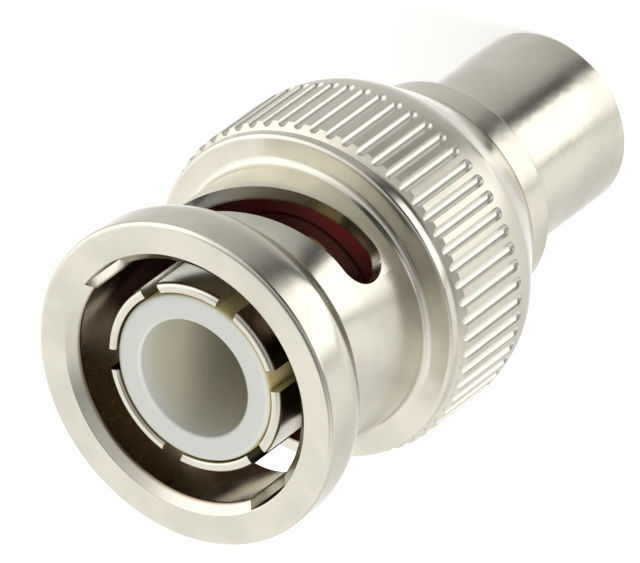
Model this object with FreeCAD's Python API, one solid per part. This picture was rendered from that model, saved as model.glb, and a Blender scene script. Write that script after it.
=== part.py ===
"""Bayonet plug for coaxial cable, with a crimp sleeve fixed to its body.

The plug stands on the end of its crimp sleeve, mouth up, with +Z along its axis.
Every place along the axis is a depth behind the mouth face of the coupling nut,
and at() turns a depth into a height above the sleeve's end.
"""
import FreeCAD, Part
import math
import os

Vector = FreeCAD.Vector
AXIS = Vector(0, 0, 1)
ORIGIN = Vector(0, 0, 0)
same_point = 1e-6

# Clearances, in millimetres
running_gap = 0.08
face_gap = 0.05
finger_gap = 0.04
skirt_gap = 0.15
stem_gap = 0.40
spring_gap = 0.10

# Outer contact: a tube with spring fingers sawn into its front
contact_radius = 4.10
contact_wall = 0.44
contact_recess = 0.60
finger_length = 6.50
finger_tip_chamfer = 0.18
finger_relief = 0.18
relief_before_saw_end = 0.30
saw_pass_count = 3
saw_first_angle = 25.0
saw_width = 0.90
saw_offset = 0.62
contact_root_step = 0.25
contact_seat_length = 1.00

# Insulator: white plastic, with the mating bore and the bore of the centre contact
insulator_bore_radius = 2.53
insulator_bore_depth = 5.90
insulator_edge = 0.20
insulator_mouth = 0.10
contact_bore_radius = 1.05
contact_bore_lead = 0.45

# Gasket: a flat silicone ring round the outer contact
gasket_depth = 7.80
gasket_thickness = 0.80
gasket_edge = 0.12

# Connector body: front flange, barrel and the bore that holds the crimp stem
flange_thickness = 1.50
flange_chamfer = 0.15
barrel_wall = 0.70
collar_grip = 2.75

# Wave washer and thrust washer between the flange and the nut's web
nut_travel = 0.50
wave_strip = 0.25
wave_count = 3
points_per_wave = 8
washer_thickness = 0.40

# Coupling nut: bore, web and rear skirt
nut_bore_radius = 5.24
mouth_chamfer = 0.40
web_length = 3.10
skirt_length = 2.67

# Coupling nut: rim and neck
rim_radius = 6.97
rim_edge_width = 0.15
rim_edge_depth = 0.18
rim_band_depth = 1.30
rim_crest_depth = 2.40
rim_crest_drop = 0.32
rim_crest_bulge = 0.08
flank_depth = 3.55
flank_hollow = 0.13
neck_wall = 0.56
neck_fillet = 0.30

# Coupling nut: bead, knurled grip and rear cone
shoulder_depth = 8.40
bead_radius = 7.03
bead_edge = 0.13
bead_length = 0.42
bead_groove_width = 0.26
bead_groove_depth = 0.10
grip_radius = 7.25
flute_count = 60
flute_first_angle = 3.0
flute_width = 0.50
flute_cut = 0.20
flute_length = 4.05
crown_before_flute_end = 0.40
crown_length = 1.50
crown_drop = 0.26
cone_end_wall = 0.10
cone_end_chamfer = 0.10

# Bayonet slots: an entry groove inside the rim, then a ramp through the neck
slot_count = 2
slot_first_angle = 90.0
slot_width = 2.30
groove_radius = 5.62
ramp_start_depth = 3.60
detent_depth = 6.20
ramp_turn = 90.0
ramp_ease = 1.6
ramp_steps = 12

# Rear collar, crimp sleeve and crimp stem
collar_wall = 0.50
collar_length = 4.26
collar_chamfer = 0.16
sleeve_radius = 3.83
sleeve_wall = 0.48
sleeve_length = 8.70
sleeve_edge = 0.10
sleeve_seat_step = 0.20
stem_bore_radius = 1.95
stem_wall = 0.33
stem_seat_length = 3.00
stem_set_back = 1.20
stem_barb_count = 5
stem_barb_pitch = 0.90
stem_barb_height = 0.12

# Radii that follow from the sizes above
contact_bore = contact_radius - contact_wall
contact_root = contact_radius + contact_root_step
relief_radius = contact_radius - finger_relief
insulator_radius = contact_bore - finger_gap
barrel_radius = insulator_radius + barrel_wall
flange_radius = nut_bore_radius - running_gap
web_bore_radius = barrel_radius + running_gap
neck_radius = nut_bore_radius + neck_wall
collar_radius = barrel_radius + collar_wall
skirt_radius = collar_radius + skirt_gap
sleeve_bore_radius = sleeve_radius - sleeve_wall
sleeve_seat_radius = sleeve_radius - sleeve_seat_step
stem_radius = stem_bore_radius + stem_wall

# Depths that follow, from the mouth towards the cable
flange_front = gasket_depth + gasket_thickness
flange_rear = flange_front + flange_thickness
contact_rear = flange_front + contact_seat_length
finger_root = contact_recess + finger_length
relief_front = finger_root - relief_before_saw_end
wave_height = nut_travel + wave_strip + spring_gap
wave_front = flange_rear + face_gap
washer_front = wave_front + wave_height + face_gap
washer_rear = washer_front + washer_thickness
web_front = washer_rear + face_gap
web_rear = web_front + web_length
nut_rear = web_rear + skirt_length
groove_front = shoulder_depth + bead_length
groove_rear = groove_front + bead_groove_width
flute_rear = groove_rear + flute_length
crown_front = flute_rear - crown_before_flute_end
crown_rear = crown_front + crown_length
collar_front = web_rear + face_gap
collar_rear = collar_front + collar_length
body_rear = collar_front + collar_grip
sleeve_end = body_rear + sleeve_length
stem_front = body_rear - stem_seat_length
stem_end = sleeve_end - stem_set_back
insulator_rear = stem_front - stem_gap


def at(depth):
    """Height above the sleeve's end of a point this deep behind the mouth."""
    return sleeve_end - depth


class HalfSection:
    """Outline of a turned part, as radius and depth, swept round the axis."""

    def __init__(self, radius, depth):
        self.start = self.place(radius, depth)
        self.here = self.start
        self.edges = []

    @staticmethod
    def place(radius, depth):
        return Vector(radius, 0, at(depth))

    def line(self, radius, depth):
        end = self.place(radius, depth)
        self.edges.append(Part.makeLine(self.here, end))
        self.here = end
        return self

    def bulged(self, radius, depth, bulge):
        """Arc that stands off its chord by a bulge, or into the metal if negative."""
        finish = self.place(radius, depth)
        chord = finish - self.here
        outward = Vector(-chord.z, 0, chord.x).normalize()
        middle = (self.here + finish) * 0.5 + outward * bulge
        self.edges.append(Part.Arc(self.here, middle, finish).toShape())
        self.here = finish
        return self

    def turned(self):
        if not self.here.isEqual(self.start, same_point):
            self.edges.append(Part.makeLine(self.here, self.start))
        face = Part.Face(Part.Wire(self.edges))
        return face.revolve(ORIGIN, AXIS, 360)


def tube(inner, outer, front, rear):
    """Plain tube between two depths."""
    length = rear - front
    base = Vector(0, 0, at(rear))
    shell = Part.makeCylinder(outer, length, base, AXIS)
    return shell.cut(Part.makeCylinder(inner, length, base, AXIS))


def turned_about_axis(shape, angle):
    """Copy of a shape, turned about the plug's axis."""
    copy = shape.copy()
    copy.rotate(ORIGIN, AXIS, angle)
    return copy


def ring_of(shape, count, first_angle):
    """Copies of a shape, evenly spaced round the axis."""
    step = 360.0 / count
    return [turned_about_axis(shape, first_angle + step * i) for i in range(count)]


def nut_blank():
    """The coupling nut as turned, before any milling."""
    section = HalfSection(nut_bore_radius + mouth_chamfer, 0)
    section.line(rim_radius - rim_edge_width, 0)
    section.line(rim_radius, rim_edge_depth)
    section.line(rim_radius, rim_band_depth)
    section.bulged(rim_radius - rim_crest_drop, rim_crest_depth, rim_crest_bulge)
    section.bulged(neck_radius, flank_depth, -flank_hollow)
    section.line(neck_radius, shoulder_depth - neck_fillet)
    section.line(neck_radius + neck_fillet, shoulder_depth)
    section.line(bead_radius - bead_edge, shoulder_depth)
    section.line(bead_radius, shoulder_depth + bead_edge)
    section.line(bead_radius, groove_front)
    section.line(bead_radius - bead_groove_depth, (groove_front + groove_rear) / 2)
    section.line(bead_radius, groove_rear)
    section.line(grip_radius, groove_rear + grip_radius - bead_radius)
    section.line(grip_radius, crown_front)
    section.line(grip_radius - crown_drop, crown_rear)
    section.line(skirt_radius + cone_end_wall, nut_rear - cone_end_chamfer)
    section.line(skirt_radius, nut_rear)
    section.line(skirt_radius, web_rear)
    section.line(web_bore_radius, web_rear)
    section.line(web_bore_radius, web_front)
    section.line(nut_bore_radius, web_front)
    section.line(nut_bore_radius, mouth_chamfer)
    return section.turned()


def flute_cutter():
    """One straight flute of the grip, with a pointed run-out at its rear."""
    cutter_radius = (flute_width ** 2 / 4 + flute_cut ** 2) / (2 * flute_cut)
    centre_radius = grip_radius - flute_cut + cutter_radius
    straight_end = flute_rear - cutter_radius
    rod = Part.makeCylinder(
        cutter_radius,
        straight_end - groove_front,
        Vector(centre_radius, 0, at(straight_end)),
        AXIS,
    )
    tip = Part.makeCone(
        cutter_radius,
        0,
        cutter_radius,
        Vector(centre_radius, 0, at(straight_end)),
        -AXIS,
    )
    return rod.fuse(tip)


def ramp_depth(share):
    """Depth of the slot's middle line, from 0 at its entry to 1 at its detent."""
    rise = detent_depth - ramp_start_depth
    return detent_depth - rise * (1 - share) ** ramp_ease


def ramp_section(share, half_width):
    """Radial slice of the ramp, cut square to the nut's axis."""
    angle = -ramp_turn * share
    middle = ramp_depth(share)
    inner = nut_bore_radius - mouth_chamfer
    outer = grip_radius
    corners = [
        Vector(inner, 0, at(middle - half_width)),
        Vector(outer, 0, at(middle - half_width)),
        Vector(outer, 0, at(middle + half_width)),
        Vector(inner, 0, at(middle + half_width)),
    ]
    corners.append(corners[0])
    return turned_about_axis(Part.makePolygon(corners), angle)


def slot_cutter():
    """Entry groove, ramp and round detent of one bayonet slot."""
    inner = nut_bore_radius - mouth_chamfer
    radius = slot_width / 2
    reach = grip_radius - inner

    groove = Part.makeBox(
        groove_radius,
        slot_width,
        ramp_start_depth,
        Vector(0, -radius, at(ramp_start_depth)),
    )
    groove = groove.common(
        Part.makeCylinder(groove_radius, ramp_start_depth, Vector(0, 0, at(ramp_start_depth)))
    )
    start = Part.makeCylinder(radius, reach, Vector(inner, 0, at(ramp_start_depth)), Vector(1, 0, 0))
    detent = Part.makeCylinder(radius, reach, Vector(inner, 0, at(detent_depth)), Vector(1, 0, 0))
    detent = turned_about_axis(detent, -ramp_turn)

    sections = []
    neck_turn = math.radians(ramp_turn) * neck_radius
    for step in range(ramp_steps + 1):
        share = step / ramp_steps
        slope = (detent_depth - ramp_start_depth) * ramp_ease * (1 - share) ** (ramp_ease - 1)
        lean = math.atan(slope / neck_turn)
        sections.append(ramp_section(share, radius / math.cos(lean)))
    ramp = Part.makeLoft(sections, True, False)
    return groove.fuse([start, ramp, detent])


def coupling_nut():
    """Bayonet nut: turned blank, two milled slots and a ring of straight flutes."""
    slots = ring_of(slot_cutter(), slot_count, slot_first_angle)
    flutes = ring_of(flute_cutter(), flute_count, flute_first_angle)
    return nut_blank().cut(slots + flutes)


def outer_contact():
    """Contact tube with a thicker root, sawn across three times a little off its axis."""
    front = contact_recess
    tip = finger_tip_chamfer
    section = HalfSection(contact_bore, front)
    section.line(contact_radius - tip, front)
    section.line(contact_radius, front + tip)
    section.line(contact_radius, relief_front)
    section.line(relief_radius, relief_front)
    section.line(relief_radius, flange_front)
    section.line(contact_root, flange_front)
    section.line(contact_root, contact_rear)
    section.line(contact_bore, contact_rear)
    reach = contact_radius + saw_offset + running_gap
    saw_pass = Part.makeBox(
        2 * reach,
        saw_width,
        finger_length,
        Vector(-reach, -saw_width / 2, at(finger_root)),
    )
    passes = []
    for number in range(saw_pass_count):
        cut = turned_about_axis(saw_pass, saw_first_angle + 180.0 / saw_pass_count * number)
        cut.translate(Vector(saw_offset, 0, 0))
        passes.append(cut)
    return section.turned().cut(passes)


def insulator():
    """Plastic core: wide mating bore in front, narrow contact bore behind it."""
    front = contact_recess
    bore_floor = front + insulator_bore_depth
    section = HalfSection(insulator_bore_radius + insulator_mouth, front)
    section.line(insulator_radius - insulator_edge, front)
    section.line(insulator_radius, front + insulator_edge)
    section.line(insulator_radius, insulator_rear)
    section.line(contact_bore_radius + contact_bore_lead, insulator_rear)
    section.line(contact_bore_radius, insulator_rear - contact_bore_lead)
    section.line(contact_bore_radius, bore_floor)
    section.line(insulator_bore_radius, bore_floor)
    section.line(insulator_bore_radius, front + insulator_mouth)
    return section.turned()


def gasket():
    """Ring that the mating connector's end is pressed against."""
    section = HalfSection(relief_radius, gasket_depth + gasket_edge)
    section.line(relief_radius + gasket_edge, gasket_depth)
    section.line(flange_radius - gasket_edge, gasket_depth)
    section.line(flange_radius, gasket_depth + gasket_edge)
    section.line(flange_radius, flange_front)
    section.line(relief_radius, flange_front)
    return section.turned()


def connector_body():
    """Flange, barrel and stem seat, turned in one piece."""
    section = HalfSection(contact_root, flange_front)
    section.line(flange_radius, flange_front)
    section.line(flange_radius, flange_rear - flange_chamfer)
    section.line(flange_radius - flange_chamfer, flange_rear)
    section.line(barrel_radius, flange_rear)
    section.line(barrel_radius, body_rear)
    section.line(stem_radius, body_rear)
    section.line(stem_radius, insulator_rear)
    section.line(insulator_radius, insulator_rear)
    section.line(insulator_radius, contact_rear)
    section.line(contact_root, contact_rear)
    return section.turned()


def wave_edge(radius, front):
    """Closed edge of the wave washer, at one radius and one face."""
    swing = (wave_height - wave_strip) / 2
    steps = wave_count * points_per_wave
    points = []
    for step in range(steps):
        angle = 2 * math.pi * step / steps
        depth = front + swing * (1 - math.cos(wave_count * angle))
        points.append(Vector(radius * math.cos(angle), radius * math.sin(angle), at(depth)))
    curve = Part.BSplineCurve()
    curve.interpolate(points, PeriodicFlag=True)
    return curve.toShape()


def wave_washer():
    """Spring strip bent into waves, free between flange and thrust washer."""
    inner_front = wave_edge(web_bore_radius, wave_front)
    outer_front = wave_edge(flange_radius, wave_front)
    inner_rear = wave_edge(web_bore_radius, wave_front + wave_strip)
    outer_rear = wave_edge(flange_radius, wave_front + wave_strip)
    faces = [
        Part.makeRuledSurface(inner_front, outer_front),
        Part.makeRuledSurface(outer_front, outer_rear),
        Part.makeRuledSurface(outer_rear, inner_rear),
        Part.makeRuledSurface(inner_rear, inner_front),
    ]
    shell = Part.makeShell(faces)
    shell.sewShape()
    solid = Part.makeSolid(shell)
    if solid.Volume < 0:
        solid.reverse()
    return solid


def thrust_washer():
    """Flat washer that the coupling nut turns against."""
    return tube(web_bore_radius, flange_radius, washer_front, washer_rear)


def rear_collar():
    """Collar pressed on the barrel: it keeps the nut on and holds the sleeve."""
    edge = collar_chamfer
    section = HalfSection(barrel_radius, collar_front)
    section.line(collar_radius - edge, collar_front)
    section.line(collar_radius, collar_front + edge)
    section.line(collar_radius, collar_rear - edge)
    section.line(collar_radius - edge, collar_rear)
    section.line(sleeve_seat_radius, collar_rear)
    section.line(sleeve_seat_radius, body_rear)
    section.line(barrel_radius, body_rear)
    return section.turned()


def crimp_sleeve():
    """Thin tube that is squeezed over the cable's braid and jacket."""
    section = HalfSection(sleeve_bore_radius, body_rear)
    section.line(sleeve_seat_radius, body_rear)
    section.line(sleeve_seat_radius, collar_rear)
    section.line(sleeve_radius, collar_rear)
    section.line(sleeve_radius, sleeve_end - sleeve_edge)
    section.line(sleeve_radius - sleeve_edge, sleeve_end)
    section.line(sleeve_bore_radius + sleeve_edge, sleeve_end)
    section.line(sleeve_bore_radius, sleeve_end - sleeve_edge)
    return section.turned()


def crimp_stem():
    """Barbed tube that goes under the cable's braid."""
    section = HalfSection(stem_bore_radius, stem_front)
    section.line(stem_radius, stem_front)
    barb_front = stem_end - stem_barb_count * stem_barb_pitch
    section.line(stem_radius, barb_front)
    for barb in range(stem_barb_count):
        barb_rear = barb_front + (barb + 1) * stem_barb_pitch
        section.line(stem_radius + stem_barb_height, barb_rear - stem_barb_pitch)
        section.line(stem_radius, barb_rear)
    section.line(stem_bore_radius, stem_end)
    return section.turned()


def main():
    os.makedirs("parts", exist_ok=True)
    pieces = {
        "coupling_nut": coupling_nut(),
        "outer_contact": outer_contact(),
        "insulator": insulator(),
        "gasket": gasket(),
        "connector_body": connector_body(),
        "wave_washer": wave_washer(),
        "thrust_washer": thrust_washer(),
        "rear_collar": rear_collar(),
        "crimp_sleeve": crimp_sleeve(),
        "crimp_stem": crimp_stem(),
    }
    for name, shape in pieces.items():
        shape.exportStep("parts/" + name + ".step")
        print(name, "valid", shape.isValid(), "solids", len(shape.Solids), round(shape.Volume, 3))
    print("length", round(sleeve_end, 3))


main()
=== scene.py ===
import math

import bmesh
import bpy
from bpy.props import FloatProperty, FloatVectorProperty, IntProperty, PointerProperty
from bpy.types import Operator, Panel, PropertyGroup
from mathutils import Matrix, Vector


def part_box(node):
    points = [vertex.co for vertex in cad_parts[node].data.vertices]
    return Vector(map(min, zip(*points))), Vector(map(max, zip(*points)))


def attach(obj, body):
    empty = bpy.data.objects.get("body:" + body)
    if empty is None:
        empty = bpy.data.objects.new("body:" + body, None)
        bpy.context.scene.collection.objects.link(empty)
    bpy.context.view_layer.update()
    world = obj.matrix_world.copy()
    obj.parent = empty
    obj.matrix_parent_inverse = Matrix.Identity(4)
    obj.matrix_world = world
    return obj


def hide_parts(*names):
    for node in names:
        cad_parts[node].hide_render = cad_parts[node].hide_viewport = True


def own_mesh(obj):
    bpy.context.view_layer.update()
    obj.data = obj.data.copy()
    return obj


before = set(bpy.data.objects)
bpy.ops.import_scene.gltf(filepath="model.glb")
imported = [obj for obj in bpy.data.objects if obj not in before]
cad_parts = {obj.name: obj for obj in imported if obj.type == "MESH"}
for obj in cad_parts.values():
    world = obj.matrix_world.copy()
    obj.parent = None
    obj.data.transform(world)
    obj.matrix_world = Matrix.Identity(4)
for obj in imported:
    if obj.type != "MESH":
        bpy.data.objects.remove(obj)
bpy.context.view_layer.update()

bl_info = {
    "name": "Bayonet Coaxial Plug",
    "version": (1, 0, 0),
    "blender": (4, 5, 0),
    "location": "3D View > Sidebar > Bayonet Plug",
    "description": "Builds the finished pieces of a bayonet coaxial plug round its CAD frame",
    "category": "Object",
}

MM = 0.001
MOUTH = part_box("coupling_nut")[1].z

# How far a cutter reaches past the wall that it cuts
OVERCUT = 0.4 * MM
# Turn of a lathe's first point, in steps, which keeps the points off the corners of the cuts
RING_PHASE = 0.37
# Roughness of the grip, which is satin beside the bright rim and neck
GRIP_ROUGHNESS = 0.36
# Share of its brightness that stained plate keeps
STAIN_SHADE = 0.86

# Settings that many nodes share
EASED = {"interpolation_type": "SMOOTHSTEP"}
COLOUR_MIX = {"data_type": "RGBA"}
PRODUCT = {"operation": "MULTIPLY"}


def mm(value):
    """Millimetres, as a length in scene units."""
    return value * MM


def size(name, description, default_mm):
    """Length property, with its default in millimetres."""
    return FloatProperty(
        name=name, description=description, default=mm(default_mm), unit="LENGTH", precision=5
    )


def turn(name, description, default_deg):
    """Angle property, with its default in degrees."""
    return FloatProperty(
        name=name, description=description, default=math.radians(default_deg), unit="ROTATION"
    )


def number(name, description, default, least=1):
    """Whole-number property."""
    return IntProperty(name=name, description=description, default=default, min=least)


def span(node):
    """Outer radius of a CAD node, and the depths of its front and rear behind the mouth."""
    low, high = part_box(node)
    return high.x, MOUTH - high.z, MOUTH - low.z


def linear(hex_colour):
    """Linear RGBA of an sRGB colour such as #c8bfb2."""
    channels = [int(hex_colour[i:i + 2], 16) / 255 for i in (1, 3, 5)]
    knee = 0.04045
    return [c / 12.92 if c <= knee else ((c + 0.055) / 1.055) ** 2.4 for c in channels] + [1.0]


def colour(name, description, hex_colour):
    """Colour property, with its default as an sRGB hex value."""
    return FloatVectorProperty(
        name=name,
        description=description,
        default=linear(hex_colour),
        subtype="COLOR",
        size=4,
        min=0,
        max=1,
    )


class NutSizes(PropertyGroup):
    bore_radius: size("Bore radius", "Bore that takes the jack's shell", 5.24)
    mouth_chamfer: size("Mouth chamfer", "Chamfer between the face ring and the bore", 0.40)
    rim_radius: size("Rim radius", "Outside of the rim at the mouth", 6.97)
    rim_edge: size("Rim edge round", "Round on the rim's front edge", 0.20)
    rim_band: size("Rim band depth", "Where the rim starts to fall", 1.30)
    crest_depth: size("Crest depth", "Crease between the rim and its flank", 2.40)
    crest_drop: size("Crest drop", "How far the rim has fallen at the crease", 0.32)
    flank_depth: size("Flank depth", "Where the flank meets the neck", 3.55)
    neck_radius: size("Neck radius", "Plain neck that the bayonet slots are cut in", 5.80)
    neck_fillet: size("Neck fillet", "Fillet between the neck and the bead", 0.35)
    shoulder_depth: size("Shoulder depth", "Front face of the bead", 8.40)
    bead_radius: size("Bead radius", "Bead in front of the grip", 7.03)
    bead_length: size("Bead length", "Length of the bead before its groove", 0.42)
    groove_width: size("Groove width", "Groove between the bead and the grip", 0.26)
    groove_depth: size("Groove depth", "Depth of that groove", 0.10)
    crown_drop: size("Crown drop", "Fall of the grip's rear edge", 0.30)
    crown_length: size("Crown length", "Length over which the grip's rear edge falls", 1.50)
    web_front: size("Web front", "Front of the web that the thrust washer bears on", 11.50)
    web_length: size("Web length", "Length of the web", 3.10)
    web_bore_radius: size("Web bore", "Bore of the web on the barrel", 4.40)
    skirt_radius: size("Skirt radius", "Bore of the rear skirt over the collar", 4.97)
    cone_wall: size("Cone end wall", "Wall left at the rear edge of the cone", 0.10)


class FluteSizes(PropertyGroup):
    count: number("Flutes", "Straight flutes round the grip", 60, least=3)
    first: turn("First flute", "Angle of the first flute", 3.0)
    width: size("Flute width", "Width of a flute at the grip's surface", 0.50)
    cut: size("Flute depth", "Depth of a flute", 0.20)
    length: size("Flute length", "From the bead's groove to the flute's rounded rear end", 4.05)


class SlotSizes(PropertyGroup):
    count: number("Slots", "Bayonet slots round the neck", 2)
    first: turn("First slot", "Angle of the first slot's entry", 90.0)
    width: size("Slot width", "Width of the entry groove and of the ramp", 2.30)
    groove_radius: size("Entry radius", "Floor radius of the entry groove inside the rim", 5.62)
    entry_depth: size("Entry depth", "Depth at which the ramp starts", 3.60)
    detent_depth: size("Detent depth", "Depth of the ramp's far end", 6.20)
    ramp: turn("Ramp angle", "Turn from the entry to the detent", 90.0)


class ContactSizes(PropertyGroup):
    radius: size("Contact radius", "Outside of the spring fingers", 4.10)
    wall: size("Contact wall", "Thickness of the spring fingers", 0.44)
    passes: number("Saw passes", "Cuts right across the tube", 3)
    first: turn("First pass", "Angle of the first saw pass", 25.0)
    offset: size("Saw offset", "Place off the axis where the saw passes cross", 0.62)
    cut_width: size("Saw cut", "Width of a saw cut", 0.90)
    cut_length: size("Finger length", "Length of a saw cut", 6.50)
    relief: size("Finger relief", "Step down behind the springing length of the fingers", 0.18)
    relief_lead: size("Relief lead", "Length of the relief in front of the saw cuts' ends", 0.30)
    tip_round: size("Tip round", "Round on the outside of a finger's tip", 0.20)


class InsulatorSizes(PropertyGroup):
    bore_radius: size("Mating bore", "Radius of the wide bore", 2.53)
    bore_depth: size("Bore depth", "Depth of the wide bore", 5.90)
    pin_radius: size("Pin bore", "Radius of the centre contact's bore", 1.05)
    edge_round: size("Edge round", "Round on the outer front edge", 0.25)
    mouth_round: size("Mouth round", "Round on the bore's mouth", 0.12)


class RearSizes(PropertyGroup):
    collar_wall: size("Collar wall", "Wall of the collar round the barrel", 0.50)
    collar_edge: size("Collar edge", "Round on the collar's rear edge", 0.16)
    sleeve_wall: size("Sleeve wall", "Wall of the crimp sleeve", 0.48)
    sleeve_edge: size("Sleeve edge", "Round on the sleeve's end", 0.12)
    stem_wall: size("Stem wall", "Wall of the crimp stem", 0.33)
    stem_bore: size("Stem bore", "Bore of the crimp stem", 1.95)
    barb_pitch: size("Barb pitch", "Distance between two barbs of the stem", 0.90)
    barb_height: size("Barb height", "Height of a barb", 0.12)
    barb_count: number("Barbs", "Barbs along the stem", 5)


class SpringSizes(PropertyGroup):
    clearance: size("Clearance", "Gap between the barrel and the spring", 0.08)
    strip: size("Strip", "Thickness of the spring's strip", 0.25)
    waves: number("Waves", "Waves round the spring", 3)


class Finishes(PropertyGroup):
    nickel: colour("Nickel", "Bright nickel plate", "#d2cec0")
    nickel_flutes: colour("Nickel in the flutes", "Frosted plate in the milled flutes", "#dfddd2")
    # Painted shade: darker, browner plate that stands in for the shade deep in the nut's bore
    nickel_bore_painted_shade: colour("Nickel in the bore", "Thin plate deep inside the nut", "#94846f")
    nickel_dull: colour("Dull nickel", "Nickel plate that has hazed", "#b8b0a2")
    insulator: colour("Insulator", "White acetal", "#c4c4bd")
    # Painted shade: yellower acetal well behind the face, for the dim light deep in the bore
    insulator_deep_painted_shade: colour("Insulator inside", "White acetal well behind its face", "#c3bfab")
    # Painted shade: straw-coloured acetal on the outside, for the shade it lies in behind the saw
    # cuts
    insulator_side_painted_shade: colour("Insulator outside", "White acetal as the saw cuts show it", "#bbac78")
    # Dark red of the rubber, drawn darker still as painted shade for the dim inside of the nut
    gasket: colour("Gasket", "Dark red silicone rubber", "#5e140d")
    bronze: colour("Spring bronze", "Bare spring bronze", "#b08a58")
    floor: colour("Floor", "Pale studio floor", "#f2f2f2")


class Outline:
    """Closed half section of a turned piece, as corners of radius and depth."""

    def __init__(self):
        self.corners = []

    def corner(self, radius, depth, edge=0.0):
        """Corner with a round of this radius."""
        self.corners.append((radius, depth, edge))
        return self

    def bulge(self, radius, depth, rise, steps=8):
        """Arc from the last corner that stands off its chord by a rise."""
        start = Vector(self.corners[-1][:2])
        end = Vector((radius, depth))
        chord = end - start
        normal = Vector((chord.y, -chord.x)).normalized()
        half = chord.length / 2
        reach = (half * half + rise * rise) / (2 * abs(rise))
        side = math.copysign(1, rise)
        centre = (start + end) / 2 - normal * side * (reach - abs(rise))
        sweep = 2 * math.asin(half / reach)
        for step in range(1, steps):
            angle = sweep * (step / steps - 0.5)
            spoke = normal * side * math.cos(angle) + chord.normalized() * math.sin(angle)
            self.corners.append((*(centre + spoke * reach), 0.0))
        self.corners.append((radius, depth, 0.0))
        return self

    def points(self, arc_steps=5, hold=mm(0.02)):
        """Points of the outline, with its rounds and a point held close to each."""
        count = len(self.corners)
        result = []
        for i, (radius, depth, edge) in enumerate(self.corners):
            here = Vector((radius, depth))
            if edge <= 0:
                result.append(here)
                continue
            back = Vector(self.corners[i - 1][:2]) - here
            ahead = Vector(self.corners[(i + 1) % count][:2]) - here
            half_angle = back.angle(ahead) / 2
            tangent = edge / math.tan(half_angle)
            limit = 0.45 * min(back.length, ahead.length)
            if tangent > limit:
                tangent = limit
                edge = tangent * math.tan(half_angle)
            centre = here + (back.normalized() + ahead.normalized()).normalized() * (
                edge / math.sin(half_angle)
            )
            first = here + back.normalized() * tangent - centre
            last = here + ahead.normalized() * tangent - centre
            if back.length > 4 * (tangent + hold):
                result.append(here + back.normalized() * (tangent + hold))
            turn_angle = math.pi - 2 * half_angle
            steps = max(2, round(arc_steps * turn_angle / (math.pi / 2)))
            for step in range(steps + 1):
                share = step / steps
                spoke = first.slerp(last, share).normalized() * first.length
                result.append(centre + spoke)
            if ahead.length > 4 * (tangent + hold):
                result.append(here + ahead.normalized() * (tangent + hold))
        return result


def mesh_object(name, mesh_maker):
    """Object at the origin whose mesh is filled by a function."""
    mesh = bpy.data.meshes.new(name)
    work = bmesh.new()
    mesh_maker(work)
    bmesh.ops.remove_doubles(work, verts=work.verts, dist=mm(0.0005))
    bmesh.ops.recalc_face_normals(work, faces=work.faces)
    work.to_mesh(mesh)
    work.free()
    result = bpy.data.objects.new(name, mesh)
    bpy.context.scene.collection.objects.link(result)
    return result


def lathe(name, outline, segments=256, **rounding):
    """Turned piece: an outline swept once round the axis."""
    points = outline.points(**rounding)

    def fill(work):
        rings = []
        for radius, depth in points:
            ring = []
            for i in range(segments):
                angle = 2 * math.pi * (i + RING_PHASE) / segments
                place = (radius * math.cos(angle), radius * math.sin(angle), MOUTH - depth)
                ring.append(work.verts.new(place))
            rings.append(ring)
        for i, ring in enumerate(rings):
            following = rings[(i + 1) % len(rings)]
            for j in range(segments):
                k = (j + 1) % segments
                work.faces.new((ring[j], ring[k], following[k], following[j]))

    return mesh_object(name, fill)


def smooth(piece, angle_deg=30.0):
    """Smooth shading, apart from edges sharper than an angle."""
    piece.data.shade_smooth()
    piece.data.set_sharp_from_angle(angle=math.radians(angle_deg))


def place_piece(piece, node, body, material):
    """Finish, body and CAD node of a piece."""
    piece.data.materials.clear()
    piece.data.materials.append(material)
    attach(piece, body)
    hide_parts(node)


def add_node(tree, kind, settings=None, inputs=None):
    """Adds a node, sets its properties and sockets, and links any socket given as a value."""
    node = tree.nodes.new(kind)
    for key, value in (settings or {}).items():
        setattr(node, key, value)
    for key, value in (inputs or {}).items():
        if isinstance(value, bpy.types.NodeSocket):
            tree.links.new(value, node.inputs[key])
        else:
            node.inputs[key].default_value = value
    return node


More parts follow.
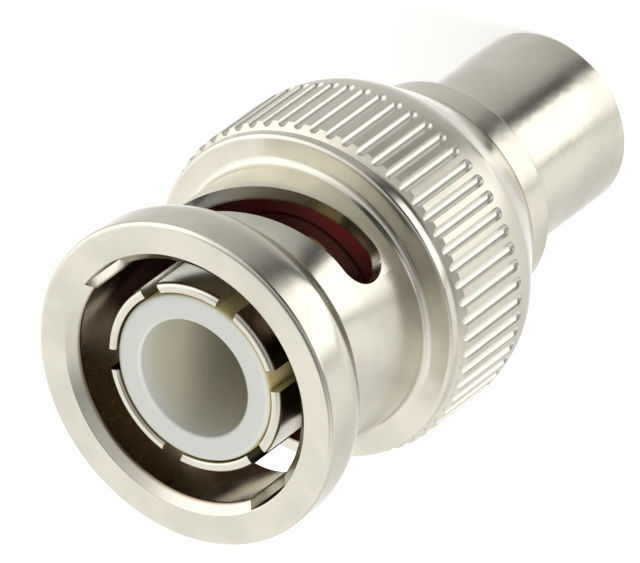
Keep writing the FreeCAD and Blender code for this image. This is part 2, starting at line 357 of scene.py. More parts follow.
def ring_of_cuts_tree():
    """Geometry Nodes tree that cuts a blank with a cutter repeated round the axis."""
    tree = bpy.data.node_groups.new("Ring of cuts", "GeometryNodeTree")
    sockets = (
        ("Blank", "INPUT", "NodeSocketGeometry"),
        ("Cutter", "INPUT", "NodeSocketObject"),
        ("Count", "INPUT", "NodeSocketInt"),
        ("First angle", "INPUT", "NodeSocketFloat"),
        ("Shift", "INPUT", "NodeSocketFloat"),
        ("Finish", "INPUT", "NodeSocketMaterial"),
        ("Cut piece", "OUTPUT", "NodeSocketGeometry"),
    )
    for name, in_out, kind in sockets:
        tree.interface.new_socket(name, in_out=in_out, socket_type=kind)
    given = add_node(tree, "NodeGroupInput").outputs
    cutter = add_node(tree, "GeometryNodeObjectInfo", None, {"Object": given["Cutter"]})
    index = add_node(tree, "GeometryNodeInputIndex")
    step = add_node(
        tree, "ShaderNodeMath", {"operation": "DIVIDE"}, {0: 2 * math.pi, 1: given["Count"]}
    )
    angle = add_node(
        tree,
        "ShaderNodeMath",
        {"operation": "MULTIPLY_ADD"},
        {0: index.outputs[0], 1: step.outputs[0], 2: given["First angle"]},
    )
    facing = add_node(tree, "ShaderNodeCombineXYZ", None, {"Z": angle.outputs[0]})
    points = add_node(tree, "GeometryNodePoints", None, {"Count": given["Count"]})
    ring = add_node(
        tree,
        "GeometryNodeInstanceOnPoints",
        None,
        {
            "Points": points.outputs[0],
            "Instance": cutter.outputs["Geometry"],
            "Rotation": facing.outputs[0],
        },
    )
    shift = add_node(tree, "ShaderNodeCombineXYZ", None, {"X": given["Shift"]})
    moved = add_node(
        tree,
        "GeometryNodeTransform",
        None,
        {"Geometry": ring.outputs[0], "Translation": shift.outputs[0]},
    )
    cutters = add_node(tree, "GeometryNodeRealizeInstances", None, {"Geometry": moved.outputs[0]})
    cut = add_node(
        tree,
        "GeometryNodeMeshBoolean",
        {"operation": "DIFFERENCE", "solver": "MANIFOLD"},
        {"Mesh 1": given["Blank"], "Mesh 2": cutters.outputs[0]},
    )
    whole = add_node(tree, "GeometryNodeRealizeInstances", None, {"Geometry": cut.outputs["Mesh"]})
    finish = add_node(
        tree,
        "GeometryNodeSetMaterial",
        None,
        {"Geometry": whole.outputs[0], "Material": given["Finish"]},
    )
    add_node(tree, "NodeGroupOutput", None, {"Cut piece": finish.outputs[0]})
    return tree


def cut_ring(blank, cutter, count, first, material, shift=0.0):
    """Cuts a blank with a ring of cutters, and leaves a plain mesh."""
    tree = bpy.data.node_groups.get("Ring of cuts") or ring_of_cuts_tree()
    modifier = blank.modifiers.new("Ring of cuts", "NODES")
    modifier.node_group = tree
    values = {
        "Cutter": cutter,
        "Count": count,
        "First angle": first,
        "Shift": shift,
        "Finish": material,
    }
    for item in tree.interface.items_tree:
        if item.in_out == "INPUT" and item.name in values:
            modifier[item.identifier] = values[item.name]
    evaluated = blank.evaluated_get(bpy.context.evaluated_depsgraph_get())
    mesh = bpy.data.meshes.new_from_object(evaluated)
    blank.modifiers.remove(modifier)
    old = blank.data
    blank.data = mesh
    bpy.data.meshes.remove(old)
    bpy.data.objects.remove(cutter)


def new_material(name):
    """Empty node material with its output, as (material, tree, output)."""
    material = bpy.data.materials.new(name)
    material.use_nodes = True
    tree = material.node_tree
    tree.nodes.clear()
    output = add_node(tree, "ShaderNodeOutputMaterial")
    return material, tree, output


def axis_place(tree):
    """A point's place, its height, and its distance from the plug's axis."""
    place = add_node(tree, "ShaderNodeTexCoord").outputs["Object"]
    parts = add_node(tree, "ShaderNodeSeparateXYZ", None, {0: place}).outputs
    flat = add_node(tree, "ShaderNodeCombineXYZ", None, {"X": parts["X"], "Y": parts["Y"]})
    radius = add_node(tree, "ShaderNodeVectorMath", {"operation": "LENGTH"}, {0: flat.outputs[0]})
    return place, parts["Z"], radius.outputs["Value"]


def nickel_plate(name, tint, roughness, tool_pitch, haze, waves=0.2, bore=0.0, grip=None):
    """Nickel plate on turned brass: bright, a little warm, with faint tool marks under it.

    Deep inside a bore of the given radius the plate is drawn darker and browner, as painted
    shade of the deep bore. A grip is given as its front and rear, the front and rear of its
    flutes, and the radius under which they lie. It is satin, and its flutes are frosted.
    """
    material, tree, output = new_material(name)
    place, height, radius = axis_place(tree)
    run = add_node(tree, "ShaderNodeMath", {"operation": "ADD"}, {0: radius, 1: height})
    marks_place = add_node(tree, "ShaderNodeCombineXYZ", None, {"X": run.outputs[0]})
    # Feed marks of the lathe tool, drawn two or three times coarser than the real 0.05 mm
    marks = add_node(
        tree,
        "ShaderNodeTexNoise",
        {"noise_dimensions": "3D"},
        {"Vector": marks_place.outputs[0], "Scale": 1 / tool_pitch, "Detail": 3.0},
    )
    # Orange peel of the plate, about half a millimetre from crest to crest
    peel = add_node(
        tree, "ShaderNodeTexNoise", None, {"Vector": place, "Scale": 1 / mm(0.6), "Detail": 1.5}
    )
    relief = add_node(
        tree,
        "ShaderNodeMath",
        {"operation": "MULTIPLY_ADD"},
        {0: marks.outputs["Fac"], 1: 0.6, 2: peel.outputs["Fac"]},
    )
    bump = add_node(
        tree,
        "ShaderNodeBump",
        None,
        {"Height": relief.outputs[0], "Strength": waves, "Distance": mm(0.02)},
    )
    # Haze, faint stains and handling marks, in patches of a few millimetres
    patches = add_node(
        tree, "ShaderNodeTexNoise", None, {"Vector": place, "Scale": 1 / mm(3.0), "Detail": 5.0}
    )
    rough = add_node(
        tree,
        "ShaderNodeMapRange",
        None,
        {
            "Value": patches.outputs["Fac"],
            "From Min": 0.35,
            "From Max": 0.7,
            "To Min": roughness,
            "To Max": roughness + haze,
        },
    )
    stains = add_node(
        tree,
        "ShaderNodeMapRange",
        EASED,
        {"Value": patches.outputs["Fac"], "From Min": 0.40, "From Max": 0.68, "To Max": 0.8},
    )
    stained = [STAIN_SHADE * channel for channel in tint[:3]] + [1.0]
    plate = add_node(tree, "ShaderNodeMix", COLOUR_MIX, {0: stains.outputs[0], 6: tint, 7: stained})
    if grip:
        front, rear, flute_front, flute_rear, flute_top = grip
        behind = add_node(
            tree, "ShaderNodeMath", {"operation": "LESS_THAN"}, {0: height, 1: MOUTH - front}
        )
        ahead = add_node(
            tree,
            "ShaderNodeMapRange",
            EASED,
            {"Value": height, "From Min": MOUTH - rear - mm(0.3), "From Max": MOUTH - rear},
        )
        brushed = add_node(
            tree, "ShaderNodeMath", PRODUCT, {0: behind.outputs[0], 1: ahead.outputs[0]}
        )
        rough = add_node(
            tree,
            "ShaderNodeMix",
            {"data_type": "FLOAT"},
            {0: brushed.outputs[0], 2: rough.outputs[0], 3: GRIP_ROUGHNESS},
        )
        sunk = add_node(
            tree, "ShaderNodeMath", {"operation": "LESS_THAN"}, {0: radius, 1: flute_top}
        )
        middle = (flute_front + flute_rear) / 2
        along = add_node(
            tree,
            "ShaderNodeMath",
            {"operation": "COMPARE"},
            {0: height, 1: MOUTH - middle, 2: (flute_rear - flute_front) / 2},
        )
        milled = add_node(
            tree, "ShaderNodeMath", PRODUCT, {0: sunk.outputs[0], 1: along.outputs[0]}
        )
        frosted = bpy.context.scene.plug_finishes.nickel_flutes
        plate = add_node(
            tree,
            "ShaderNodeMix",
            COLOUR_MIX,
            {0: milled.outputs[0], 6: plate.outputs[2], 7: frosted},
        )
    # Painted shade: inside the bore's radius the plate turns to the darker brown of the bore's
    # shade
    if bore:
        outside = add_node(
            tree,
            "ShaderNodeMapRange",
            EASED,
            {"Value": radius, "From Min": bore + mm(0.02), "From Max": bore + mm(0.12)},
        )
        bore_painted_shade = bpy.context.scene.plug_finishes.nickel_bore_painted_shade
        plate = add_node(
            tree, "ShaderNodeMix", COLOUR_MIX, {0: outside.outputs[0], 6: bore_painted_shade, 7: plate.outputs[2]}
        )
    shader = add_node(
        tree,
        "ShaderNodeBsdfPrincipled",
        None,
        {
            "Base Color": plate.outputs[2],
            "Metallic": 1.0,
            "Roughness": rough.outputs[0],
            "Normal": bump.outputs[0],
        },
    )
    tree.links.new(shader.outputs[0], output.inputs["Surface"])
    return material


def moulded_plastic(name, tint, deep_shade_tint, side_shade_tint, face, outside):
    """White moulded acetal: slightly waxy, with a fine moulded grain.

    It is drawn yellower well behind its face, as painted shade for the dimmer light that has
    been through more of it there, and most of all on its outside, painted straw-coloured for
    the shade in which the saw cuts show it.
    """
    material, tree, output = new_material(name)
    place, height, radius = axis_place(tree)
    grain = add_node(
        tree, "ShaderNodeTexNoise", None, {"Vector": place, "Scale": 1 / mm(0.3), "Detail": 3.0}
    )
    bump = add_node(
        tree,
        "ShaderNodeBump",
        None,
        {"Height": grain.outputs["Fac"], "Strength": 0.15, "Distance": mm(0.02)},
    )
    # Painted shade: the plastic is drawn yellower well behind its face and straw-coloured on its
    # outside
    sideways = add_node(
        tree,
        "ShaderNodeMapRange",
        EASED,
        {"Value": radius, "From Min": outside - mm(0.10), "From Max": outside - mm(0.02)},
    )
    depth = add_node(
        tree,
        "ShaderNodeMapRange",
        EASED,
        {"Value": height, "From Min": face - mm(1.4), "From Max": face - mm(0.15)},
    )
    shaded = add_node(
        tree, "ShaderNodeMix", COLOUR_MIX, {0: depth.outputs[0], 6: deep_shade_tint, 7: tint}
    )
    shaded = add_node(
        tree,
        "ShaderNodeMix",
        COLOUR_MIX,
        {0: sideways.outputs[0], 6: shaded.outputs[2], 7: side_shade_tint},
    )
    shader = add_node(
        tree,
        "ShaderNodeBsdfPrincipled",
        None,
        {
            "Base Color": shaded.outputs[2],
            "Roughness": 0.42,
            "IOR": 1.48,
            "Subsurface Weight": 0.25,
            "Subsurface Radius": (mm(0.6), mm(0.6), mm(0.55)),
            "Subsurface Scale": 1.0,
            "Normal": bump.outputs[0],
        },
    )
    tree.links.new(shader.outputs[0], output.inputs["Surface"])
    return material


def silicone_rubber(name, tint):
    """Pressed silicone rubber: dark red, dull, with a fine dusty grain."""
    material, tree, output = new_material(name)
    place = add_node(tree, "ShaderNodeTexCoord").outputs["Object"]
    grain = add_node(
        tree, "ShaderNodeTexNoise", None, {"Vector": place, "Scale": 1 / mm(0.2), "Detail": 4.0}
    )
    bump = add_node(
        tree,
        "ShaderNodeBump",
        None,
        {"Height": grain.outputs["Fac"], "Strength": 0.3, "Distance": mm(0.02)},
    )
    shader = add_node(
        tree,
        "ShaderNodeBsdfPrincipled",
        None,
        {"Base Color": tint, "Roughness": 0.5, "IOR": 1.41, "Normal": bump.outputs[0]},
    )
    tree.links.new(shader.outputs[0], output.inputs["Surface"])
    return material


def finish(name):
    """Material of the plug by name, made once."""
    found = bpy.data.materials.get(name)
    if found:
        return found
    looks = bpy.context.scene.plug_finishes
    if name == "nut_nickel":
        nut = bpy.context.scene.plug_nut
        flute_front = nut.shoulder_depth + nut.bead_length + nut.groove_width
        flute_rear = flute_front + bpy.context.scene.plug_flutes.length
        grip_radius = span("coupling_nut")[0]
        teeth = flute_front + grip_radius - nut.bead_radius
        satin_rear = flute_rear + mm(0.6)
        flute_top = grip_radius - mm(0.03)
        return nickel_plate(
            name,
            looks.nickel,
            roughness=0.14,
            tool_pitch=mm(0.12),
            haze=0.10,
            waves=0.12,
            bore=nut.bore_radius,
            grip=(flute_front, satin_rear, teeth, flute_rear, flute_top),
        )
    if name == "contact_nickel":
        return nickel_plate(name, looks.nickel, roughness=0.18, tool_pitch=mm(0.10), haze=0.08)
    if name == "body_nickel":
        return nickel_plate(name, looks.nickel_dull, roughness=0.25, tool_pitch=mm(0.12), haze=0.10)
    if name == "sleeve_nickel":
        return nickel_plate(
            name, looks.nickel, roughness=0.17, tool_pitch=mm(0.15), haze=0.12, waves=0.45
        )
    if name == "spring_bronze":
        # Bare bronze strip hazes and marks as the plate does, in its own colour
        return nickel_plate(name, looks.bronze, roughness=0.30, tool_pitch=mm(0.10), haze=0.10)
    if name == "white_acetal":
        outside, front = span("insulator")[:2]
        tints = (looks.insulator, looks.insulator_deep_painted_shade, looks.insulator_side_painted_shade)
        return moulded_plastic(name, *tints, MOUTH - front, outside)
    if name == "red_silicone":
        return silicone_rubber(name, looks.gasket)
    raise RuntimeError("no finish is named " + name)


def nut_outline(nut, flutes):
    """Half section of the coupling nut as turned."""
    grip_radius, _, rear = span("coupling_nut")
    web_rear = nut.web_front + nut.web_length
    groove_front = nut.shoulder_depth + nut.bead_length
    groove_rear = groove_front + nut.groove_width
    flute_tail = mm(0.40)
    crown_front = groove_rear + flutes.length - flute_tail
    crown_rear = crown_front + nut.crown_length
    small = mm(0.04)
    outline = Outline()
    outline.corner(nut.bore_radius + nut.mouth_chamfer, 0, mm(0.05))
    outline.corner(nut.rim_radius, 0, nut.rim_edge)
    outline.corner(nut.rim_radius, nut.rim_band)
    outline.bulge(nut.rim_radius - nut.crest_drop, nut.crest_depth, mm(0.08))
    outline.bulge(nut.neck_radius, nut.flank_depth, -mm(0.13))
    outline.corner(nut.neck_radius, nut.shoulder_depth, nut.neck_fillet)
    outline.corner(nut.bead_radius, nut.shoulder_depth, mm(0.18))
    outline.corner(nut.bead_radius, groove_front, small)
    outline.corner(nut.bead_radius - nut.groove_depth, (groove_front + groove_rear) / 2, small)
    outline.corner(nut.bead_radius, groove_rear, small)
    outline.corner(grip_radius, groove_rear + grip_radius - nut.bead_radius, small)
    outline.corner(grip_radius, crown_front)
    outline.bulge(grip_radius - nut.crown_drop, crown_rear, mm(0.07))
    outline.corner(nut.skirt_radius + nut.cone_wall, rear, mm(0.05))
    outline.corner(nut.skirt_radius, rear, mm(0.02))
    outline.corner(nut.skirt_radius, web_rear)
    outline.corner(nut.web_bore_radius, web_rear, small)
    outline.corner(nut.web_bore_radius, nut.web_front, small)
    outline.corner(nut.bore_radius, nut.web_front)
    outline.corner(nut.bore_radius, nut.mouth_chamfer, mm(0.15))
    return outline


def flute_cutter(nut, flutes):
    """Round-ended rod that mills one flute."""
    grip_radius = span("coupling_nut")[0]
    radius = (flutes.width ** 2 / 4 + flutes.cut ** 2) / (2 * flutes.cut)
    centre = grip_radius - flutes.cut + radius
    groove_front = nut.shoulder_depth + nut.bead_length
    flute_rear = groove_front + nut.groove_width + flutes.length
    straight = flute_rear - radius - groove_front

    def fill(work):
        bmesh.ops.create_uvsphere(work, u_segments=24, v_segments=12, radius=radius)
        for vert in work.verts:
            if vert.co.z > mm(0.001):
                vert.co.z += straight
        shift = Vector((centre, 0, MOUTH - flute_rear + radius))
        bmesh.ops.translate(work, verts=work.verts, vec=shift)

    return mesh_object("flute_cutter", fill)


def entry_cutter(nut, slots):
    """Straight groove from the mouth to the start of the ramp, inside the rim."""
    inner = nut.bore_radius - OVERCUT
    half = slots.width / 2
    side = math.asin(half / slots.groove_radius)

    def fill(work):
        steps = 8
        outer = [
            (slots.groove_radius * math.cos(a), slots.groove_radius * math.sin(a))
            for a in (side * (2 * i / steps - 1) for i in range(steps + 1))
        ]
        section = [(inner, -half)] + outer + [(inner, half)]
        front = [work.verts.new((x, y, MOUTH + mm(0.1))) for x, y in section]
        rear = [work.verts.new((x, y, MOUTH - slots.entry_depth)) for x, y in section]
        count = len(section)
        for i in range(count):
            k = (i + 1) % count
            work.faces.new((front[i], front[k], rear[k], rear[i]))
        work.faces.new(front)
        work.faces.new(list(reversed(rear)))

    return mesh_object("entry_cutter", fill)


def ramp_cutter(nut, slots):
    """Curved slot with round ends, cut square through the neck."""
    half = slots.width / 2
    inner = nut.bore_radius - OVERCUT
    outer = nut.neck_radius + mm(1.4)
    rise = slots.detent_depth - slots.entry_depth
    run = slots.ramp * nut.neck_radius
    ease = 1.6

    def middle(share):
        """Point and direction of the slot's middle line on the unrolled neck."""
        share = min(max(share, 0.0), 1.0)
        depth = slots.detent_depth - rise * (1 - share) ** ease
        slope = rise * ease * (1 - share) ** (ease - 1)
        return Vector((run * share, depth)), Vector((run, slope)).normalized()

    def stations():
        """Left and right edge points along the slot, round ends included."""
        pairs = []
        cap_steps = 12
        body_steps = 40
        start, along = middle(0)
        across = Vector((-along.y, along.x))
        for i in range(1, cap_steps):
            a = math.pi / 2 * i / cap_steps
            back = start - along * half * math.cos(a)
            pairs.append((back - across * half * math.sin(a), back + across * half * math.sin(a)))
        for i in range(body_steps + 1):
            point, along = middle(i / body_steps)
            across = Vector((-along.y, along.x))
            pairs.append((point - across * half, point + across * half))
        end, along = middle(1)
        across = Vector((-along.y, along.x))
        for i in range(1, cap_steps):
            a = math.pi / 2 * i / cap_steps
            front = end + along * half * math.sin(a)
            pairs.append((front - across * half * math.cos(a), front + across * half * math.cos(a)))
        first = start - middle(0)[1] * half
        last = end + along * half
        return first, pairs, last

    def fill(work):
        first, pairs, last = stations()

        def vert(point, radius):
            angle = -point.x / nut.neck_radius
            return work.verts.new(
                (radius * math.cos(angle), radius * math.sin(angle), MOUTH - point.y)
            )

        rims = []
        for radius in (inner, outer):
            rims.append(
                (
                    vert(first, radius),
                    [(vert(a, radius), vert(b, radius)) for a, b in pairs],
                    vert(last, radius),
                )
            )
        for tip_first, rungs, tip_last in rims:
            work.faces.new((tip_first, rungs[0][0], rungs[0][1]))
            for (a, b), (c, d) in zip(rungs, rungs[1:]):
                work.faces.new((a, c, d, b))
            work.faces.new((tip_last, rungs[-1][1], rungs[-1][0]))
        loops = []
        for tip_first, rungs, tip_last in rims:
            loop = [tip_first] + [a for a, b in rungs] + [tip_last]
            loop += [b for a, b in reversed(rungs)]
            loops.append(loop)
        count = len(loops[0])
        for i in range(count):
            k = (i + 1) % count
            work.faces.new((loops[0][i], loops[0][k], loops[1][k], loops[1][i]))

    return mesh_object("ramp_cutter", fill)


class PLUG_OT_coupling_nut(Operator):
    """Build the coupling nut with its flutes and bayonet slots"""

    bl_idname = "plug.coupling_nut"
    bl_label = "Coupling nut"

    def execute(self, context):
        nut = context.scene.plug_nut
        flutes = context.scene.plug_flutes
        slots = context.scene.plug_slots
        metal = finish("nut_nickel")
        piece = lathe("nut_with_slots_and_flutes", nut_outline(nut, flutes), flutes.count * 4)
        cut_ring(piece, ramp_cutter(nut, slots), slots.count, slots.first, metal)
        cut_ring(piece, entry_cutter(nut, slots), slots.count, slots.first, metal)
        cut_ring(piece, flute_cutter(nut, flutes), flutes.count, flutes.first, metal)
        smooth(piece)
        place_piece(piece, "coupling_nut", "coupling_nut", metal)
        return {"FINISHED"}


class PLUG_OT_outer_contact(Operator):
    """Build the outer contact with its spring fingers"""

    bl_idname = "plug.outer_contact"
    bl_label = "Outer contact"

    def execute(self, context):
        sizes = context.scene.plug_contact
        root_radius, front, rear = span("outer_contact")
        flange_front = span("gasket")[2]
        inner = sizes.radius - sizes.wall
        outline = Outline()
        outline.corner(inner, front, mm(0.10))
        outline.corner(sizes.radius, front, sizes.tip_round)
        relief_radius = sizes.radius - sizes.relief
        relief_front = front + sizes.cut_length - sizes.relief_lead
        outline.corner(sizes.radius, relief_front)
        outline.corner(relief_radius, relief_front)
        outline.corner(relief_radius, flange_front)
        outline.corner(root_radius, flange_front)
        outline.corner(root_radius, rear)
        outline.corner(inner, rear)
        metal = finish("contact_nickel")
        piece = lathe("contact_with_spring_fingers", outline, 240)

        def saw(work):
            bmesh.ops.create_cube(work, size=1.0)
            reach = sizes.radius + sizes.offset + mm(0.3)
            scale = Vector((2 * reach, sizes.cut_width, sizes.cut_length + mm(0.5)))
            bmesh.ops.scale(work, verts=work.verts, vec=scale)
            middle = MOUTH - front - sizes.cut_length + scale.z / 2
            bmesh.ops.translate(work, verts=work.verts, vec=Vector((0, 0, middle)))

        saw_blade = mesh_object("saw_blade", saw)
        cut_ring(piece, saw_blade, sizes.passes, sizes.first, metal, sizes.offset)
        smooth(piece)
        place_piece(piece, "outer_contact", "connector", metal)
        return {"FINISHED"}


class PLUG_OT_insulator(Operator):
    """Build the white insulator with its mating bore"""

    bl_idname = "plug.insulator"
    bl_label = "Insulator"

    def execute(self, context):
        sizes = context.scene.plug_insulator
        radius, front, rear = span("insulator")
        floor = front + sizes.bore_depth
        lead = mm(0.45)
        outline = Outline()
        outline.corner(sizes.bore_radius, front, sizes.mouth_round)
        outline.corner(radius, front, sizes.edge_round)
        outline.corner(radius, rear, mm(0.05))
        outline.corner(sizes.pin_radius + lead, rear)
        outline.corner(sizes.pin_radius, rear - lead)
        outline.corner(sizes.pin_radius, floor, mm(0.04))
        outline.corner(sizes.bore_radius, floor, mm(0.05))
        piece = lathe("insulator_with_mating_bore", outline, 192)
        smooth(piece)
        place_piece(piece, "insulator", "connector", finish("white_acetal"))
        return {"FINISHED"}


class PLUG_OT_gasket(Operator):
    """Build the red gasket round the outer contact"""

    bl_idname = "plug.gasket"
    bl_label = "Gasket"

    def execute(self, context):
        contact = context.scene.plug_contact
        radius, front, rear = span("gasket")
        outline = Outline()
        bore = contact.radius - contact.relief
        outline.corner(bore, front, mm(0.12))
        outline.corner(radius, front, mm(0.15))
        outline.corner(radius, rear)
        outline.corner(bore, rear)
        piece = lathe("gasket_ring", outline, 160)
        smooth(piece)
        place_piece(piece, "gasket", "connector", finish("red_silicone"))
        return {"FINISHED"}


class PLUG_OT_rear_pieces(Operator):
    """Build the collar, the crimp sleeve and the crimp stem"""

    bl_idname = "plug.rear_pieces"
    bl_label = "Collar, sleeve and stem"

    def execute(self, context):
        sizes = context.scene.plug_rear
        metal = finish("sleeve_nickel")
        collar_radius, collar_front, collar_rear = span("rear_collar")
        barrel_rear = span("connector_body")[2]
        sleeve_radius, sleeve_front, sleeve_end = span("crimp_sleeve")
        stem_front, stem_end = span("crimp_stem")[1:]
        barrel_radius = collar_radius - sizes.collar_wall
        seat_depth = mm(0.20)
        seat_radius = sleeve_radius - seat_depth

        outline = Outline()
        outline.corner(barrel_radius, collar_front)
        outline.corner(collar_radius, collar_front, mm(0.10))
        outline.corner(collar_radius, collar_rear, sizes.collar_edge)
        outline.corner(seat_radius, collar_rear)
        outline.corner(seat_radius, barrel_rear)
        outline.corner(barrel_radius, barrel_rear)
        collar = lathe("pressed_collar", outline)
        smooth(collar)
        place_piece(collar, "rear_collar", "connector", metal)

        bore = sleeve_radius - sizes.sleeve_wall
        outline = Outline()
        outline.corner(bore, sleeve_front)
        outline.corner(seat_radius, sleeve_front)
        outline.corner(seat_radius, collar_rear)
        outline.corner(sleeve_radius, collar_rear)
        outline.corner(sleeve_radius, sleeve_end, sizes.sleeve_edge)
        outline.corner(bore, sleeve_end, sizes.sleeve_edge)
        sleeve = lathe("crimp_tube", outline)
        smooth(sleeve)
        place_piece(sleeve, "crimp_sleeve", "connector", metal)

        outline = Outline()
        stem_radius = sizes.stem_bore + sizes.stem_wall
        outline.corner(sizes.stem_bore, stem_front)
        outline.corner(stem_radius, stem_front)
        first_barb = stem_end - sizes.barb_count * sizes.barb_pitch
        for barb in range(sizes.barb_count):
            start = first_barb + barb * sizes.barb_pitch
            outline.corner(stem_radius, start)
            outline.corner(stem_radius + sizes.barb_height, start, mm(0.02))
        outline.corner(stem_radius, stem_end, mm(0.05))
        outline.corner(sizes.stem_bore, stem_end, mm(0.05))
        stem = lathe("barbed_stem", outline, 160)
        smooth(stem)
        place_piece(stem, "crimp_stem", "connector", finish("body_nickel"))
        return {"FINISHED"}


class PLUG_OT_wave_spring(Operator):
    """Build the wave spring that draws the nut back"""

    bl_idname = "plug.wave_spring"
    bl_label = "Wave spring"

    def execute(self, context):
        sizes = context.scene.plug_spring
        radius, front, rear = span("wave_washer")
        outline = Outline()
        barrel_radius = span("rear_collar")[0] - context.scene.plug_rear.collar_wall
        bore = barrel_radius + sizes.clearance
        outline.corner(bore, front, mm(0.05))
        outline.corner(radius, front, mm(0.05))
        outline.corner(radius, front + sizes.strip, mm(0.05))
        outline.corner(bore, front + sizes.strip, mm(0.05))
        spring = lathe("wave_spring", outline, 180)
        swing = (rear - front - sizes.strip) / 2
        for vertex in spring.data.vertices:
            angle = math.atan2(vertex.co.y, vertex.co.x)
            vertex.co.z -= swing * (1 - math.cos(sizes.waves * angle))
        smooth(spring)
        place_piece(spring, "wave_washer", "connector", finish("spring_bronze"))
        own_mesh(spring)
        return {"FINISHED"}


class PLUG_OT_inner_finishes(Operator):
    """Give the CAD pieces inside the nut their finishes"""

    bl_idname = "plug.inner_finishes"
    bl_label = "Inner finishes"

    def execute(self, context):
        for node in ("connector_body", "thrust_washer"):
            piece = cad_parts[node]
            piece.data.materials.clear()
            piece.data.materials.append(finish("body_nickel"))
        return {"FINISHED"}


# Light of the sky on its dim and its bright side, and the direction of the bright side
SKY_DIM = (0.36, 0.345, 0.30, 1)
SKY_BRIGHT = (1.02, 1.05, 1.06, 1)
SKY_SIDE = (0.50, -0.62, 0.60)
# Glow that makes the floor white to the camera
FLOOR_LIFT = 0.36
# Direction of a dark spot, low on the camera's side, that only bright metal sees
DARK_SPOT = (0.987, 0.139, 0.087)
# Brightness of the surroundings that metal sees, by angle in degrees from +X
BAND_STRENGTH = 1.9
ZENITH_STRENGTH = 0.5
UPPER_BANDS = (
    (-180, 0.65),
    (-120, 0.68),
    (-80, 0.55),
    (-45, 0.22),
    (-10, 0.34),
    (15, 0.34),
    (45, 0.50),
    (75, 0.95),
    (120, 1.00),
    (150, 0.78),
    (180, 0.65),
)
LOWER_BANDS = (
    (-180, 0.80),
    (-165, 0.62),
    (-145, 0.50),
    (-105, 0.48),
    (-70, 0.64),
    (-50, 0.62),
    (-45, 0.36),
    (-39, 0.70),
    (-32, 1.00),
    (8, 1.00),
    (16, 0.16),
    (24, 0.04),
    (32, 0.12),
    (42, 0.28),
    (62, 0.35),
    (100, 0.42),
    (140, 0.48),
    (170, 0.75),
    (180, 0.80),
)


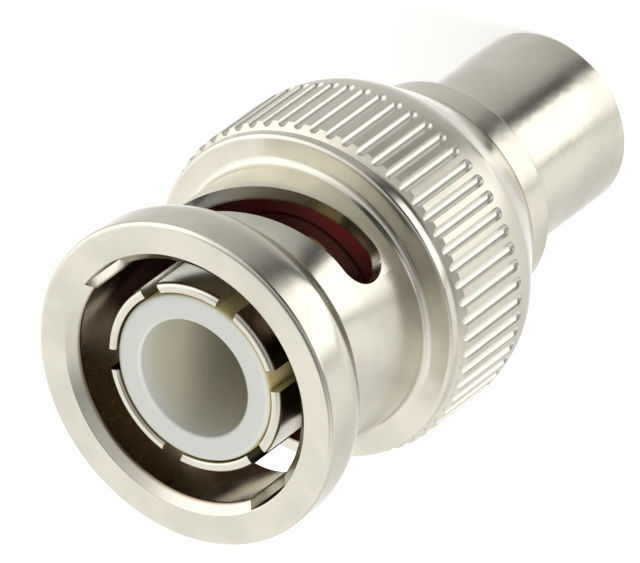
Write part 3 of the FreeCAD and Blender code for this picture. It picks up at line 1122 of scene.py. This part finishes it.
class PLUG_OT_studio(Operator):
    """Set up the camera, the floor, the lamps and the world"""

    bl_idname = "plug.studio"
    bl_label = "Studio"

    def execute(self, context):
        scene = context.scene
        scene.view_settings.view_transform = "Standard"

        data = bpy.data.cameras.new("photo_camera")
        camera = bpy.data.objects.new("photo_camera", data)
        scene.collection.objects.link(camera)
        # Place, axes and lens fitted to the plug's circles in the photo
        right = Vector((0.58285, -0.59328, -0.55524))
        up = Vector((0.42956, 0.80499, -0.40922))
        back = Vector((0.68974, 0.0, 0.72405))
        place = Vector((mm(344.8), mm(0.12), MOUTH + mm(352.26)))
        axes = Matrix((right, up, back)).transposed().to_4x4()
        camera.matrix_world = Matrix.Translation(place) @ axes
        data.sensor_fit = "HORIZONTAL"
        data.sensor_width = 36.0
        data.lens = 708.75
        data.clip_start = 0.01
        data.clip_end = 10.0
        scene.camera = camera

        def fill(work):
            bmesh.ops.create_grid(work, x_segments=1, y_segments=1, size=2.0)

        floor = mesh_object("studio_floor", fill)
        floor.data.materials.append(self.floor_material(scene.plug_finishes.floor))
        floor.visible_glossy = False

        scene.world = self.surroundings()
        self.lamp("key_light", (0.20, -0.24, 0.30), 0.16, 0.9)
        return {"FINISHED"}

    def fill_ramp(self, ramp, bands):
        """Sets a colour ramp's stops from pairs of an angle in degrees and a grey."""
        stops = ramp.elements
        while len(stops) > 1:
            stops.remove(stops[-1])
        for number, (angle, grey) in enumerate(bands):
            place = (angle + 180) / 360
            stop = stops[0] if number == 0 else stops.new(place)
            stop.position = place
            stop.color = (grey, grey, grey, 1)

    def surroundings(self):
        """Even white light, with darker and brighter sides that only bright metal sees."""
        world = bpy.data.worlds.new("studio_world")
        world.use_nodes = True
        tree = world.node_tree
        tree.nodes.clear()
        where = add_node(tree, "ShaderNodeTexCoord").outputs["Generated"]
        facing = add_node(
            tree, "ShaderNodeVectorMath", {"operation": "DOT_PRODUCT"}, {0: where, 1: SKY_SIDE}
        )
        share = add_node(
            tree,
            "ShaderNodeMapRange",
            EASED,
            {"Value": facing.outputs["Value"], "From Min": -0.9, "From Max": 1.0},
        )
        soft = add_node(
            tree, "ShaderNodeMix", COLOUR_MIX, {0: share.outputs[0], 6: SKY_DIM, 7: SKY_BRIGHT}
        )
        even = add_node(tree, "ShaderNodeBackground", None, {"Color": soft.outputs[2]})
        parts = add_node(tree, "ShaderNodeSeparateXYZ", None, {0: where}).outputs
        around = add_node(
            tree, "ShaderNodeMath", {"operation": "ARCTAN2"}, {0: parts["Y"], 1: parts["X"]}
        )
        turned = add_node(
            tree,
            "ShaderNodeMapRange",
            None,
            {"Value": around.outputs[0], "From Min": -math.pi, "From Max": math.pi},
        )
        lower = add_node(tree, "ShaderNodeValToRGB", None, {0: turned.outputs[0]})
        self.fill_ramp(lower.color_ramp, LOWER_BANDS)
        below = add_node(
            tree, "ShaderNodeMath", PRODUCT, {0: lower.outputs["Color"], 1: BAND_STRENGTH}
        )
        upper = add_node(tree, "ShaderNodeValToRGB", None, {0: turned.outputs[0]})
        self.fill_ramp(upper.color_ramp, UPPER_BANDS)
        zenith = add_node(
            tree,
            "ShaderNodeMapRange",
            EASED,
            {
                "Value": parts["Z"],
                "From Min": 0.78,
                "From Max": 0.97,
                "To Min": BAND_STRENGTH,
                "To Max": ZENITH_STRENGTH,
            },
        )
        above = add_node(
            tree, "ShaderNodeMath", PRODUCT, {0: upper.outputs["Color"], 1: zenith.outputs[0]}
        )
        side = add_node(
            tree,
            "ShaderNodeMapRange",
            EASED,
            {"Value": parts["Z"], "From Min": -0.35, "From Max": 0.15},
        )
        level = add_node(
            tree,
            "ShaderNodeMix",
            {"data_type": "FLOAT"},
            {0: side.outputs[0], 2: below.outputs[0], 3: above.outputs[0]},
        )
        spot = add_node(
            tree, "ShaderNodeVectorMath", {"operation": "DOT_PRODUCT"}, {0: where, 1: DARK_SPOT}
        )
        shade = add_node(
            tree,
            "ShaderNodeMapRange",
            EASED,
            {
                "Value": spot.outputs["Value"],
                "From Min": 0.84,
                "From Max": 0.97,
                "To Min": 1.0,
                "To Max": 0.08,
            },
        )
        shaded = add_node(
            tree, "ShaderNodeMath", PRODUCT, {0: level.outputs[0], 1: shade.outputs[0]}
        )
        sided = add_node(
            tree,
            "ShaderNodeBackground",
            None,
            {"Color": (1, 1, 1, 1), "Strength": shaded.outputs[0]},
        )
        rays = add_node(tree, "ShaderNodeLightPath")
        mixed = add_node(
            tree,
            "ShaderNodeMixShader",
            None,
            {0: rays.outputs["Is Glossy Ray"], 1: even.outputs[0], 2: sided.outputs[0]},
        )
        add_node(tree, "ShaderNodeOutputWorld", None, {"Surface": mixed.outputs[0]})
        return world

    def floor_material(self, tint):
        """Pale matt floor, which the camera sees as white with the plug's shadow on it."""
        material, tree, output = new_material("pale_floor")
        shader = add_node(
            tree, "ShaderNodeBsdfPrincipled", None, {"Base Color": tint, "Roughness": 0.9}
        )
        lift = add_node(
            tree, "ShaderNodeEmission", None, {"Color": (1, 1, 1, 1), "Strength": FLOOR_LIFT}
        )
        brighter = add_node(
            tree, "ShaderNodeAddShader", None, {0: shader.outputs[0], 1: lift.outputs[0]}
        )
        rays = add_node(tree, "ShaderNodeLightPath")
        seen = add_node(
            tree,
            "ShaderNodeMixShader",
            None,
            {0: rays.outputs["Is Camera Ray"], 1: shader.outputs[0], 2: brighter.outputs[0]},
        )
        tree.links.new(seen.outputs[0], output.inputs["Surface"])
        return material

    def lamp(self, name, place, width, power):
        """Square soft light that points at the plug."""
        data = bpy.data.lights.new(name, "AREA")
        data.size = width
        data.energy = power
        lamp = bpy.data.objects.new(name, data)
        lamp.visible_glossy = False
        bpy.context.scene.collection.objects.link(lamp)
        lamp.location = place
        aim = Vector((0, 0, MOUTH / 2)) - Vector(place)
        lamp.rotation_euler = aim.to_track_quat("-Z", "Y").to_euler()
        return lamp


class PLUG_PT_sidebar(Panel):
    """Lists the plug's pieces and their sizes"""

    bl_idname = "PLUG_PT_sidebar"
    bl_label = "Bayonet Plug"
    bl_space_type = "VIEW_3D"
    bl_region_type = "UI"
    bl_category = "Bayonet Plug"

    def draw(self, context):
        layout = self.layout
        for operator in OPERATORS:
            layout.operator(operator.bl_idname)
        for name in GROUPS:
            group = getattr(context.scene, name)
            box = layout.box()
            for key in group.bl_rna.properties.keys():
                if key not in ("rna_type", "name"):
                    box.prop(group, key)


OPERATORS = (
    PLUG_OT_studio,
    PLUG_OT_coupling_nut,
    PLUG_OT_outer_contact,
    PLUG_OT_insulator,
    PLUG_OT_gasket,
    PLUG_OT_rear_pieces,
    PLUG_OT_wave_spring,
    PLUG_OT_inner_finishes,
)
GROUPS = {
    "plug_nut": NutSizes,
    "plug_flutes": FluteSizes,
    "plug_slots": SlotSizes,
    "plug_contact": ContactSizes,
    "plug_insulator": InsulatorSizes,
    "plug_rear": RearSizes,
    "plug_spring": SpringSizes,
    "plug_finishes": Finishes,
}


def register():
    for group in GROUPS.values():
        bpy.utils.register_class(group)
    for name, group in GROUPS.items():
        setattr(bpy.types.Scene, name, PointerProperty(type=group))
    for operator in OPERATORS:
        bpy.utils.register_class(operator)
    bpy.utils.register_class(PLUG_PT_sidebar)


def unregister():
    bpy.utils.unregister_class(PLUG_PT_sidebar)
    for operator in reversed(OPERATORS):
        bpy.utils.unregister_class(operator)
    for name, group in reversed(list(GROUPS.items())):
        delattr(bpy.types.Scene, name)
        bpy.utils.unregister_class(group)


def main():
    register()
    bpy.ops.plug.studio()
    bpy.ops.plug.coupling_nut()
    bpy.ops.plug.outer_contact()
    bpy.ops.plug.insulator()
    bpy.ops.plug.gasket()
    bpy.ops.plug.rear_pieces()
    bpy.ops.plug.wave_spring()
    bpy.ops.plug.inner_finishes()


if __name__ == "__main__":
    main()
